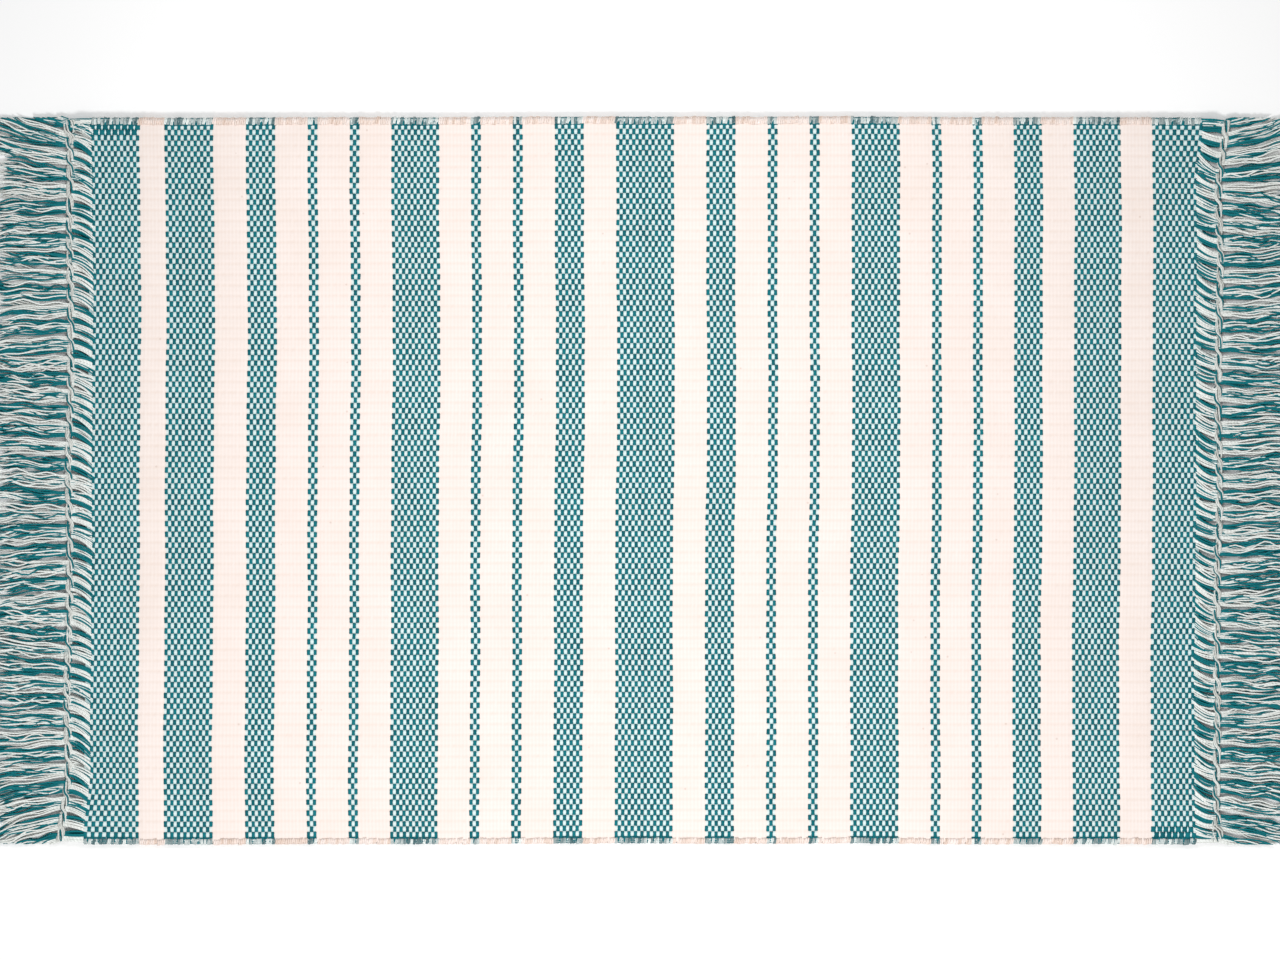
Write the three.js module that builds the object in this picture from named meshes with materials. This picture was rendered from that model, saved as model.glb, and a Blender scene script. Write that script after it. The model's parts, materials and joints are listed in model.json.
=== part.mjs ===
// A hand-woven cotton bath mat: a double-layer cloth of teal check bands and plain cream bands, a selvedge along
// each long edge, and at each end a heading of bare warp, a twined cord and a fringe.
// Millimetres, +Z up. The mat lies on z = 0, with its length along X, its width along Y and its centre at the origin.
import * as THREE from "three";

// Driving dimensions.
const MAT_WIDTH = 500; // along the weft, edge to edge
const MAT_LENGTH = 900; // along the warp, fringe tip to fringe tip
const CLOTH_THICKNESS = 6;
const SEAM_THICKNESS = 4; // where the two layers change places between stripes
const SEAM_SLOPE = 1.6; // the length over which a stripe swells from its seam to its full thickness
const TEAL_PICK = 2.2; // spacing of the weft picks in a teal check band
const CREAM_PICK = 2.47; // and in a plain cream band
const CLOSE_BEAT = 0.977; // the picks from CLOSE_STRIPE on are beaten closer together by this much
const SELVEDGE_WIDTH = 5;
const HEADING_LENGTH = 11.5;
const HEADING_WIDTH = 488;
const HEADING_LEAN = 8; // how far the heading's bundles of warp lean along the mat's width
const BUNDLE_PITCH = 7.35; // one bundle holds the ends of two warp rows
const BUNDLE_THICKNESS = 4.6;
const CORD_RADIUS = 3.5;
const CORD_WAIST_RADIUS = 2.7; // between the bulges of its twist
const CORD_TWIST = 11.7; // from one bulge to the next
const FRINGE_THICKNESS = 3;
const FRINGE_CLEARANCE = 0.6; // between the cord and the fringe, which turns round the cord's own axis
const TASSEL_PITCH = 10.8;
const TASSEL_GAP = 1.6;
const TASSEL_TIP = 4;
const TASSEL_UNEVEN = 5; // how much shorter than the longest the shortest tassel is
const GAP = 0.3; // between pieces that touch

// The weaver's draft: the number of picks in each stripe from left to right, teal check first, then turn about.
const DRAFT = [
  15, 7, 15, 9, 9, 9, 3, 9, 3, 9, 15, 9, 3, 9, 3, 9, 9, 9, 18, 9, 9, 9, 3, 9, 3, 9, 15, 9, 3, 9, 3, 9, 9, 9, 15, 9, 14,
];
const CENTRE_STRIPE = 18;
const CLOSE_STRIPE = 28;

const MID_HEIGHT = CLOTH_THICKNESS / 2;
const HALF_WIDTH = MAT_WIDTH / 2;
const HALF_LENGTH = MAT_LENGTH / 2;

const teal = new THREE.MeshStandardMaterial({ color: 0x17707a, roughness: 0.9, metalness: 0 });
const cream = new THREE.MeshStandardMaterial({ color: 0xf6efe6, roughness: 0.95, metalness: 0 });
const mixed = new THREE.MeshStandardMaterial({ color: 0xb9c9c6, roughness: 0.92, metalness: 0 });

// One closed prism of an outline in the XZ plane, running along Y from y0 to y1.
function alongWidth(outline, y0, y1) {
  const geometry = new THREE.ExtrudeGeometry(outline, { depth: y1 - y0, bevelEnabled: false });
  geometry.rotateX(Math.PI / 2);
  geometry.translate(0, y1, 0);
  return geometry;
}

// The outline of a stripe: a flat tube, pinched at each seam, and cut to a wedge where it meets a fold line.
function stripeOutline(x0, x1, foldAtStart, foldAtEnd) {
  const seam = SEAM_THICKNESS / 2;
  const startSide = foldAtStart
    ? [[x0 + GAP / 2, 0], [x0 + GAP / 2 + MID_HEIGHT, MID_HEIGHT]]
    : [[x0 + GAP / 2, seam], [x0 + GAP / 2 + SEAM_SLOPE, MID_HEIGHT]];
  const endSide = foldAtEnd
    ? [[x1 - GAP / 2 - MID_HEIGHT, MID_HEIGHT], [x1 - GAP / 2, 0]]
    : [[x1 - GAP / 2 - SEAM_SLOPE, MID_HEIGHT], [x1 - GAP / 2, seam]];
  const upper = [...startSide, ...endSide];
  const lower = upper.filter(([, height]) => height > 0).reverse().map(([x, height]) => [x, -height]);
  return new THREE.Shape([...upper, ...lower].map(([x, height]) => new THREE.Vector2(x, MID_HEIGHT + height)));
}

// A heading: bundles of warp side by side, leaning together, as one ribbed slab from x0 to x1.
function headingGeometry(x0, x1) {
  const bundles = Math.floor(HEADING_WIDTH / BUNDLE_PITCH);
  const start = (-bundles * BUNDLE_PITCH) / 2;
  const ridge = BUNDLE_THICKNESS / 2;
  const furrow = ridge * 0.6;
  const upper = [[start, furrow]];
  for (let i = 0; i < bundles; i++) {
    upper.push([start + (i + 0.5) * BUNDLE_PITCH, ridge]);
    upper.push([start + (i + 1) * BUNDLE_PITCH, furrow]);
  }
  const lower = upper.map(([y, height]) => [y, -height]).reverse();
  const outline = new THREE.Shape([...upper, ...lower].map(([y, height]) => new THREE.Vector2(y, MID_HEIGHT + height)));
  const geometry = new THREE.ExtrudeGeometry(outline, { depth: x1 - x0, bevelEnabled: false });
  // The outline is drawn in (y, z) and extruded along x.
  const lean = -HEADING_LEAN / (x1 - x0);
  const place = new THREE.Matrix4().set(0, 0, 1, x0, 1, 0, lean, HEADING_LEAN / 2, 0, 1, 0, 0, 0, 0, 0, 1);
  geometry.applyMatrix4(place);
  return geometry;
}

// A twined cord along Y: round, with a bulge at each crossing of its two plies.
function cordGeometry(x) {
  const crossings = Math.floor((MAT_WIDTH - 2 * GAP) / CORD_TWIST);
  const half = (crossings * CORD_TWIST) / 2;
  const profile = [new THREE.Vector2(0, -half)];
  for (let i = 0; i < crossings; i++) {
    profile.push(new THREE.Vector2(CORD_WAIST_RADIUS, -half + i * CORD_TWIST));
    profile.push(new THREE.Vector2(CORD_RADIUS, -half + (i + 0.5) * CORD_TWIST));
  }
  profile.push(new THREE.Vector2(CORD_WAIST_RADIUS, half));
  profile.push(new THREE.Vector2(0, half));
  return new THREE.LatheGeometry(profile, 8).translate(x, 0, CORD_RADIUS);
}

// A fringe as a comb of tassels that lies on z = 0. side is -1 at the left end and 1 at the right end.
function fringeGeometry(side, rootX) {
  const tassels = Math.floor(MAT_WIDTH / TASSEL_PITCH);
  const start = (-tassels * TASSEL_PITCH) / 2;
  const webX = rootX + side * 3;
  const outline = [[rootX, start]];
  for (let i = 0; i < tassels; i++) {
    const low = start + i * TASSEL_PITCH + TASSEL_GAP / 2;
    const high = low + TASSEL_PITCH - TASSEL_GAP;
    const middle = (low + high) / 2;
    const shorter = TASSEL_UNEVEN * 0.5 * (1 + Math.cos(2.4 * i));
    const tipX = side * (HALF_LENGTH - shorter);
    outline.push([webX, low], [tipX - side * TASSEL_TIP, low], [tipX, middle], [tipX - side * TASSEL_TIP, high], [webX, high]);
  }
  outline.push([rootX, -start]);
  const shape = new THREE.Shape(outline.map(([x, y]) => new THREE.Vector2(x, y)));
  return new THREE.ExtrudeGeometry(shape, { depth: FRINGE_THICKNESS, bevelEnabled: false });
}

const mat = new THREE.Group();

function addPiece(name, geometry, material) {
  const piece = new THREE.Mesh(geometry, material);
  piece.name = name;
  mat.add(piece);
}

const pickOf = (stripe) => (stripe % 2 === 0 ? TEAL_PICK : CREAM_PICK) * (stripe < CLOSE_STRIPE ? 1 : CLOSE_BEAT);
const widths = DRAFT.map((picks, stripe) => picks * pickOf(stripe));
const foldX = widths[CENTRE_STRIPE] / 2; // the two fold lines are the seams of the centre stripe
const clothStart = -foldX - widths.slice(0, CENTRE_STRIPE).reduce((sum, width) => sum + width, 0);

// The stripes.
let x = clothStart;
widths.forEach((width, stripe) => {
  const isTeal = stripe % 2 === 0;
  const number = String(Math.floor(stripe / 2) + 1).padStart(2, "0");
  const name = (isTeal ? "teal_check_band_" : "cream_band_") + number;
  const foldAtStart = stripe === CENTRE_STRIPE || stripe === CENTRE_STRIPE + 1;
  const foldAtEnd = stripe === CENTRE_STRIPE || stripe === CENTRE_STRIPE - 1;
  const outline = stripeOutline(x, x + width, foldAtStart, foldAtEnd);
  const reach = HALF_WIDTH - SELVEDGE_WIDTH - GAP;
  addPiece(name, alongWidth(outline, -reach, reach), isTeal ? teal : cream);
  x += width;
});
const clothEnd = x;

// The selvedges, parted at the fold lines.
const stretches = [
  ["left", clothStart, -foldX, false, true],
  ["middle", -foldX, foldX, true, true],
  ["right", foldX, clothEnd, true, false],
];
for (const [place, x0, x1, foldAtStart, foldAtEnd] of stretches) {
  const outline = stripeOutline(x0, x1, foldAtStart, foldAtEnd);
  const inner = HALF_WIDTH - SELVEDGE_WIDTH;
  addPiece("near_selvedge_" + place, alongWidth(outline, -HALF_WIDTH, -inner), cream);
  addPiece("far_selvedge_" + place, alongWidth(outline, inner, HALF_WIDTH), cream);
}

// The ends: heading, cord and fringe.
for (const [place, side, clothX] of [["left", -1, clothStart], ["right", 1, clothEnd]]) {
  const headingInner = clothX + side * GAP;
  const headingOuter = clothX + side * HEADING_LENGTH;
  const cordX = headingOuter + side * (GAP + CORD_RADIUS);
  const fringeRoot = cordX + side * (CORD_RADIUS + FRINGE_CLEARANCE);
  const low = Math.min(headingInner, headingOuter);
  const high = Math.max(headingInner, headingOuter);
  addPiece(place + "_heading", headingGeometry(low, high), mixed);
  addPiece(place + "_twined_cord", cordGeometry(cordX), mixed);
  addPiece(place + "_fringe", fringeGeometry(side, fringeRoot), mixed);
}

export default mat;
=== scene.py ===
import json
import math
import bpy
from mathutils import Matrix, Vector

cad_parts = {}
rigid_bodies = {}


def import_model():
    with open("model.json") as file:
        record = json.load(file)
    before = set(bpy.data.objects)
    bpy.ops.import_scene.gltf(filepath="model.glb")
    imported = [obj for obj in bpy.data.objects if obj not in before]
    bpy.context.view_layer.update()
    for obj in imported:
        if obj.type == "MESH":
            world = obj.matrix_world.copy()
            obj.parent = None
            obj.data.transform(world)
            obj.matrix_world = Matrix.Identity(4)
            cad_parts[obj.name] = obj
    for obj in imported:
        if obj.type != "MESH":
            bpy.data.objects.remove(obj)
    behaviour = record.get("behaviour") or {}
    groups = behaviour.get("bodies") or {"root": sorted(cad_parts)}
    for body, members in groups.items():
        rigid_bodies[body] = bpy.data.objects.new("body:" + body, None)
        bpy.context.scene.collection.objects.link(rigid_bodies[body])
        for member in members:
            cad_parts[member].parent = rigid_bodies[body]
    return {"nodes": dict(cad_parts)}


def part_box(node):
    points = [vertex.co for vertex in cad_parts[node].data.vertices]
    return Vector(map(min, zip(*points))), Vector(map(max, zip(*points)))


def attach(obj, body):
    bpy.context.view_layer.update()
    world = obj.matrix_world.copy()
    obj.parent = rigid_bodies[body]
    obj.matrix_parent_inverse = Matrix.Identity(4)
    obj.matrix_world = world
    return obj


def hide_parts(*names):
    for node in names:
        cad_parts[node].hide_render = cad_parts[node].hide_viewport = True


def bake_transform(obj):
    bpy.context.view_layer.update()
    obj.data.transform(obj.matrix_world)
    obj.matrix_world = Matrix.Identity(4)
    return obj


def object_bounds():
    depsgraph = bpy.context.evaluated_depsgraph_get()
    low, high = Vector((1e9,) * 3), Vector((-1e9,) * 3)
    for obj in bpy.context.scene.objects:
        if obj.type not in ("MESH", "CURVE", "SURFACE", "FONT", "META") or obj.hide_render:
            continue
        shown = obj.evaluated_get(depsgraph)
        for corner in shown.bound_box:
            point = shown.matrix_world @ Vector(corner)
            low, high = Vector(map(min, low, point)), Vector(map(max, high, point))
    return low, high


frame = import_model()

from types import SimpleNamespace

import bpy
import numpy as np
from bpy.props import FloatProperty, FloatVectorProperty, IntProperty, PointerProperty
from mathutils import Vector

bl_info = {
    "name": "Hand-woven bath mat",
    "version": (1, 0, 0),
    "blender": (4, 5, 0),
    "location": "View3D > Sidebar > Bath mat",
    "description": "Weaves a double-layer cotton bath mat with teal checks, twined ends and fringes",
    "category": "Add Mesh",
}

CAD_LOW, CAD_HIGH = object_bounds()
MM = 0.001
SIDES = (("left", -1), ("right", 1))
BAKE_MAP = "OFBake"
SEAM_REACH = 1.6 * MM  # how far from a seam the cloth dips
TEAL_BUNDLE = 3.0 * MM  # width of a bundle of loose teal yarns


# ------------------------------------------------------------
# Settings


def millimetres(name, description, default):
    """A length in metres, stated here in millimetres."""
    return FloatProperty(name=name, description=description, default=default * MM,
                         subtype="DISTANCE", unit="LENGTH")


def shade(name, description, code):
    """A colour, stated as an sRGB hex value and kept linear."""
    return FloatVectorProperty(name=name, description=description, default=linear(code),
                               subtype="COLOR", size=3)


def linear(code):
    """The linear colour of an sRGB hex value."""
    channels = [int(code[i:i + 2], 16) / 255 for i in (1, 3, 5)]
    return tuple(c / 12.92 if c <= 0.04045 else ((c + 0.055) / 1.055) ** 2.4 for c in channels)


class MatWeave(bpy.types.PropertyGroup):
    """The cloth: its thread spacings and how far its yarns stand out"""

    warp_pitch: millimetres("Warp pitch", "Spacing of the warp rows across the mat", 3.68)
    check_pick: millimetres("Check pick", "Spacing of the weft picks in a teal check band", 2.2)
    plain_pick: millimetres("Plain pick", "Spacing of the weft picks in a cream band", 2.47)
    relief: millimetres("Relief", "Height from the gaps between yarns to the top of a weft float", 1.05)
    float_length: millimetres("Float length", "Length of a warp float, with its dives under the weft", 2.85)
    seam_dip: millimetres("Seam dip", "How far the cloth dips where its two layers change places", 0.35)
    selvedge: millimetres("Selvedge", "Width of the strip where the weft turns back", 4.6)
    corner_pull: millimetres("Corner pull", "How far two opposite corners are pulled outwards", 5.5)
    unevenness: FloatProperty(
        name="Unevenness", description="Hand-woven irregularity", default=1.0, min=0, max=3)
    seed: IntProperty(name="Seed", description="Seed of the cloth's irregularities", default=7)


class MatYarn(bpy.types.PropertyGroup):
    """The loose yarns of the headings, cords and fringes"""

    thickness: millimetres("Yarn", "Thickness of one yarn", 1.2)
    cord_twist: millimetres("Cord twist", "Length of the cord between two crossings of its plies", 11.7)
    heading_lean: millimetres("Heading lean", "How far a heading's yarns lean across the mat", 8.5)
    tip_spread: millimetres("Tip spread", "How uneven the fringe's tips are", 14.0)
    flare: millimetres("Flare", "How far the fringe spreads outwards at the mat's corners", 14.0)
    sides: IntProperty(name="Sides", description="Sides of a yarn's section", default=5, min=3, max=12)
    seed: IntProperty(name="Seed", description="Seed of the yarns' waves", default=21)


class MatColours(bpy.types.PropertyGroup):
    """Dyes and natural shades of the cotton"""

    cream: shade("Cream", "Bleached cream weft and warp", "#F7ECE7")
    # The next shade is the cream cotton darkened: painted shade in the gaps between yarns and in the furrows
    # and on the flanks of the turns at the selvedges, and also the darker tone of unevenly bleached cotton.
    cream_gap: shade("Cream gap", "Cream cotton in the gaps between yarns", "#E3CDBF")
    check_white: shade("Check white", "Weft where it shows among the teal", "#E8F5F4")
    # The next shade is painted shade in the gaps of a check, tinted by the dyed fibres that show there.
    check_gap: shade("Check gap", "Gaps between the yarns of a check, where dyed fibres show", "#5FA3A9")
    # The next shade is also the painted shade in the furrows and on the flanks of the turns over a check.
    check_edge: shade("Check edge", "Dyed warp between the turns of the weft over a check", "#1A5A62")
    seed_fleck: shade("Seed fleck", "Specks of husk in the cream cotton", "#B89A86")
    teal: shade("Teal", "Dyed warp", "#13747E")
    # The next shade is painted shade in the warp's furrows as well as the colour of its darkest floats.
    teal_deep: shade("Deep teal", "Dyed warp in its darkest yarns", "#0C5963")
    loose_teal: shade("Loose teal", "Dyed warp in its loose, lighter yarns", "#137C84")
    # The next shade is painted shade in the loose warp's furrows and on its flanks, as well as the colour of
    # its darkest yarns.
    loose_teal_deep: shade("Deep loose teal", "Loose dyed warp in its furrows and darkest yarns", "#0C5F68")
    fringe_white: shade("Fringe white", "Undyed twisted yarn", "#F9FDFA")
    # The next shade is painted shade on the loose undyed yarn, in its furrows, on its flanks and in its lower
    # layers, as well as the colour of its duller strands.
    fringe_shade: shade("Fringe shade", "Undyed twisted yarn in its duller strands", "#A5A59D")
    floor: shade("Floor", "Plain pale floor", "#FFFFFF")


# ------------------------------------------------------------
# Nodes, meshes and the frame


def add(tree, kind, inputs=(), **settings):
    """Adds a node. inputs maps a socket's name or number to a value, a colour, another node's output, or
    another node, which stands for its first output in use."""
    node = tree.nodes.new(kind)
    for name, value in settings.items():
        setattr(node, name, value)
    for key, value in dict(inputs).items():
        if isinstance(value, bpy.types.Node):
            value = next(output for output in value.outputs if output.enabled)
        if isinstance(value, bpy.types.NodeSocket):
            tree.links.new(value, node.inputs[key])
        elif node.inputs[key].type == "RGBA":
            node.inputs[key].default_value = (*value, 1)
        else:
            node.inputs[key].default_value = value
    return node


def geometry_tree(name, sockets):
    """An empty Geometry Nodes tree with a geometry input and output, and one input for each of sockets, which
    holds names, types and defaults."""
    tree = bpy.data.node_groups.new(name, "GeometryNodeTree")
    tree.interface.new_socket("Geometry", in_out="INPUT", socket_type="NodeSocketGeometry")
    tree.interface.new_socket("Geometry", in_out="OUTPUT", socket_type="NodeSocketGeometry")
    for label, kind, default in sockets:
        socket = tree.interface.new_socket(label, in_out="INPUT", socket_type=kind)
        if default is not None:
            socket.default_value = default
    return tree, add(tree, "NodeGroupInput"), add(tree, "NodeGroupOutput")


def grow(obj, tree, values):
    """Runs a tree on an object with the named inputs set. The result becomes the object's own plain mesh."""
    modifier = obj.modifiers.new(tree.name, "NODES")
    modifier.node_group = tree
    for item in tree.interface.items_tree:
        if item.item_type == "SOCKET" and item.in_out == "INPUT" and item.name in values:
            modifier[item.identifier] = values[item.name]
    depsgraph = bpy.context.evaluated_depsgraph_get()
    grown = bpy.data.meshes.new_from_object(
        obj.evaluated_get(depsgraph), preserve_all_data_layers=True, depsgraph=depsgraph)
    obj.modifiers.remove(modifier)
    spare = obj.data
    obj.data = grown
    grown.name = obj.name
    bpy.data.meshes.remove(spare)
    return obj


def link(name, mesh):
    """A new object for a mesh, in the scene."""
    obj = bpy.data.objects.new(name, mesh)
    bpy.context.scene.collection.objects.link(obj)
    return obj


def polygons(name, points, loops, counts, smooth=True):
    """A mesh from its points, the flat list of its faces' corners, and each face's number of corners."""
    mesh = bpy.data.meshes.new(name)
    mesh.vertices.add(len(points))
    mesh.vertices.foreach_set("co", np.asarray(points, np.float32).ravel())
    mesh.loops.add(len(loops))
    mesh.loops.foreach_set("vertex_index", np.asarray(loops, np.int32))
    starts = np.concatenate(([0], np.cumsum(counts)[:-1]))
    mesh.polygons.add(len(counts))
    mesh.polygons.foreach_set("loop_start", starts.astype(np.int32))
    mesh.polygons.foreach_set("use_smooth", np.full(len(counts), smooth))
    mesh.update(calc_edges=True)
    mesh.validate()
    return mesh


def put(mesh, name, values, kind="FLOAT"):
    """Stores one value for each vertex under a name."""
    attribute = mesh.attributes.new(name, kind, "POINT")
    key = "vector" if kind == "FLOAT_VECTOR" else "value"
    attribute.data.foreach_set(key, np.asarray(values, np.float32).ravel())


def read(items, key, kind=np.float32, width=1):
    """One property of all of a mesh's items, as an array with a row for each."""
    found = np.empty(len(items) * width, kind)
    items.foreach_get(key, found)
    return found.reshape(-1, width) if width > 1 else found


def ease(value, start, end):
    """0 before start, 1 after end, and a smooth rise between."""
    t = np.clip((np.asarray(value) - start) / (end - start), 0, 1)
    return t * t * (3 - 2 * t)


def settle(points, weave):
    """Hand-woven cloth is never quite square: every point drifts a little with the cloth around it.
    The drift is a sum of slow waves, all in millimetres."""
    x, y = points[:, 0] / MM, points[:, 1] / MM
    drift_x = 0.75 * np.sin(y / 92 + 0.4) + 0.3 * np.sin(y / 33 + x / 150) + 0.16 * np.sin(y / 13 + x / 47)
    drift_x += 1.1 * np.exp(-((x + 225) / 90) ** 2)  # two bands left of the middle are beaten closer to it
    drift_y = 0.35 * np.sin(x / 118 + 1.1) + 0.15 * np.sin(x / 29 + y / 75)
    points[:, 0] += drift_x * weave.unevenness * MM
    points[:, 1] += drift_y * weave.unevenness * MM
    # Two opposite corners are pulled outwards, from the last check band on.
    out, side = np.abs(x), np.sign(x)
    pulled = ease(side * y, 195, 250) * ease(out, 350, 385) * (1 - 0.6 * ease(out, 400, 450))
    points[:, 0] += side * weave.corner_pull * pulled
    return points


def draw_plan_map(mesh, underside):
    """The map that a bake uses: the piece in plan, with what faces down in a strip of its own.
    underside is the strip's share of the image."""
    corners = read(mesh.loops, "vertex_index", np.int32)
    sizes = read(mesh.polygons, "loop_total", np.int32)
    down = np.repeat(read(mesh.polygons, "normal", width=3)[:, 2] < 0, sizes)
    plan = read(mesh.vertices, "co", width=3).astype(float)[corners, :2]
    low, high = plan.min(0), plan.max(0)
    margin = 0.002
    plan = margin + (1 - 2 * margin) * (plan - low) / (high - low)
    upper = 1 - underside
    plan[:, 1] = np.where(down, upper + plan[:, 1] * underside, plan[:, 1] * upper * 0.995)
    layer = mesh.uv_layers.new(name=BAKE_MAP)
    layer.uv.foreach_set("vector", plan.astype(np.float32).ravel())


def finish_piece(obj, weave, underside):
    """Settles a piece with the cloth and gives it its bake map."""
    points = settle(read(obj.data.vertices, "co", width=3).astype(float), weave)
    obj.data.vertices.foreach_set("co", points.astype(np.float32).ravel())
    obj.data.update()
    draw_plan_map(obj.data, underside)
    return obj


def bands():
    """The nodes of the woven bands from left to right."""
    return sorted((name for name in frame["nodes"] if "_band_" in name), key=lambda name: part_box(name)[0].x)


def read_draft(weave):
    """Where each pick lies, read from the bands of the frame, and which picks are in a check band."""
    boxes = [(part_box(name)[0].x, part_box(name)[1].x, name.startswith("teal")) for name in bands()]
    inner = [(before[1] + after[0]) / 2 for before, after in zip(boxes, boxes[1:])]
    seams = np.array([boxes[0][0], *inner, boxes[-1][1]])
    edges, check = [seams[:1]], []
    for start, end, (_, _, is_check) in zip(seams, seams[1:], boxes):
        picks = round((end - start) / (weave.check_pick if is_check else weave.plain_pick))
        edges.append(np.linspace(start, end, picks + 1)[1:])
        check += [is_check] * picks
    edges = np.concatenate(edges)
    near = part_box("near_selvedge_middle")[0].y
    margin = 3 * MM  # left beyond the rows for the turns of the weft
    rows = round((-2 * near - margin) / weave.warp_pitch)
    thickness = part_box("cream_band_01")[1].z
    return SimpleNamespace(
        seams=seams,
        edges=edges,
        check=np.array(check),
        middle=int(np.abs(edges).argmin()),  # the pick edge where the left and right halves of the mesh meet
        rows=rows,
        reach=rows * weave.warp_pitch / 2,
        edge=-near,
        thickness=thickness,
        crown=thickness / 2 - 0.62 * weave.relief,  # from the middle of the cloth to a layer's mean surface
    )


def seam_dip(x, draft, weave):
    """How far the cloth dips at x, where its two layers change places at a seam."""
    nearest = np.abs(x[:, None] - draft.seams[None, :]).min(1)
    return weave.seam_dip * np.exp(-(nearest / SEAM_REACH) ** 2)


def picks_of(draft, side):
    """The first and last pick edge of one half of the mat."""
    return (0, draft.middle) if side < 0 else (draft.middle, len(draft.check))


def fold_with(obj, place, side):
    """Applies a piece's transform to its mesh."""
    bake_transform(obj)


# ------------------------------------------------------------
# Materials


def made_of(finish, colours):
    """The material named after a finish. When it is first asked for, the finish lays out its nodes on the tree
    and says what goes into its shader."""
    material = bpy.data.materials.get(finish.__name__)
    if material is None:
        material = bpy.data.materials.new(finish.__name__)
        material.use_nodes = True
        tree = material.node_tree
        tree.nodes.clear()
        shader = add(tree, "ShaderNodeBsdfPrincipled", finish(tree, colours))
        add(tree, "ShaderNodeOutputMaterial", {"Surface": shader})
    return material


def woven_cream_cotton(tree, colours):
    """Bleached cotton weft, plain woven: matte and soft, warm in the plain bands and cooler among the teal,
    with painted shade in the gaps between the yarns, beige in the plain bands and teal in the checks, faint
    fibre streaks along the weft and a few seed flecks."""
    place = add(tree, "ShaderNodeTexCoord").outputs["Object"]
    check = add(tree, "ShaderNodeAttribute", attribute_name="check").outputs["Fac"]
    gap = add(tree, "ShaderNodeAttribute", attribute_name="gap").outputs["Fac"]
    body = add(tree, "ShaderNodeMix", {"Factor": check, 6: colours.cream, 7: colours.check_white},
               data_type="RGBA")
    # Cotton takes up bleach unevenly over a few centimetres.
    cloud = add(tree, "ShaderNodeTexNoise", {"Vector": place, "Scale": 28.0, "Detail": 2.0})
    warm = add(tree, "ShaderNodeMapRange", {"Value": cloud, 1: 0.35, 2: 0.75, 3: 0.0, 4: 0.18})
    body = add(tree, "ShaderNodeMix", {"Factor": warm, 6: body, 7: colours.cream_gap}, data_type="RGBA")
    # Painted shade: the deeper a point lies in a gap between yarns, the darker its colour, towards beige in a
    # plain band and, a little more, towards teal in a check, where dyed fibres also show.
    gap_shade = add(tree, "ShaderNodeMix", {"Factor": check, 6: colours.cream_gap, 7: colours.check_gap},
                 data_type="RGBA")
    share = add(tree, "ShaderNodeMath", {0: check, 1: 0.1, 2: 0.65}, operation="MULTIPLY_ADD")
    depth = add(tree, "ShaderNodeMath", {0: gap, 1: share}, operation="MULTIPLY")
    body = add(tree, "ShaderNodeMix", {"Factor": depth, 6: body, 7: gap_shade}, data_type="RGBA")
    # Seed flecks under a millimetre across, a few centimetres apart.
    fleck = add(tree, "ShaderNodeTexVoronoi", {"Vector": place, "Scale": 60.0, "Randomness": 1.0})
    dot = add(tree, "ShaderNodeMapRange", {"Value": fleck, 1: 0.03, 2: 0.06, 3: 0.3, 4: 0.0})
    body = add(tree, "ShaderNodeMix", {"Factor": dot, 6: body, 7: colours.seed_fleck}, data_type="RGBA")
    # Fibres lie along the weft, in Y, about 0.3 mm apart.
    run = add(tree, "ShaderNodeMapping", {"Vector": place, "Scale": (3000.0, 500.0, 3000.0)})
    fibre = add(tree, "ShaderNodeTexNoise", {"Vector": run, "Scale": 1.0, "Detail": 2.0})
    bump = add(tree, "ShaderNodeBump", {"Height": fibre, "Strength": 0.25, "Distance": 0.2 * MM})
    return {"Base Color": body, "Normal": bump, "Roughness": 0.92, "Sheen Weight": 0.1, "Sheen Roughness": 0.5}


def dyed_teal_cotton(tree, colours):
    """Cotton warp dyed teal, several yarns to a float: matte, with painted shade deep in the furrows and a
    little painted highlight where fibres catch the light, each float dyed a touch differently."""
    place = add(tree, "ShaderNodeTexCoord").outputs["Object"]
    tint = add(tree, "ShaderNodeAttribute", attribute_name="tint").outputs["Fac"]
    # Yarns lie along the warp, in X, about 1 mm apart.
    run = add(tree, "ShaderNodeMapping", {"Vector": place, "Scale": (250.0, 1800.0, 1200.0)})
    strand = add(tree, "ShaderNodeTexNoise", {"Vector": run, "Scale": 1.0, "Detail": 3.0})
    # Painted shade and highlight: the colour follows the streaks that also make the bump, darker low and
    # lighter high, on top of each float's own tint.
    mixed = add(tree, "ShaderNodeMath", {0: tint, 1: strand}, operation="ADD")
    amount = add(tree, "ShaderNodeMapRange", {"Value": mixed, 1: 0.35, 2: 1.55, 3: 0.0, 4: 1.0})
    body = add(tree, "ShaderNodeMix", {"Factor": amount, 6: colours.teal_deep, 7: colours.teal},
               data_type="RGBA")
    bump = add(tree, "ShaderNodeBump", {"Height": strand, "Strength": 0.4, "Distance": 0.3 * MM})
    return {"Base Color": body, "Normal": bump, "Roughness": 0.9, "Specular IOR Level": 0.15}


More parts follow.
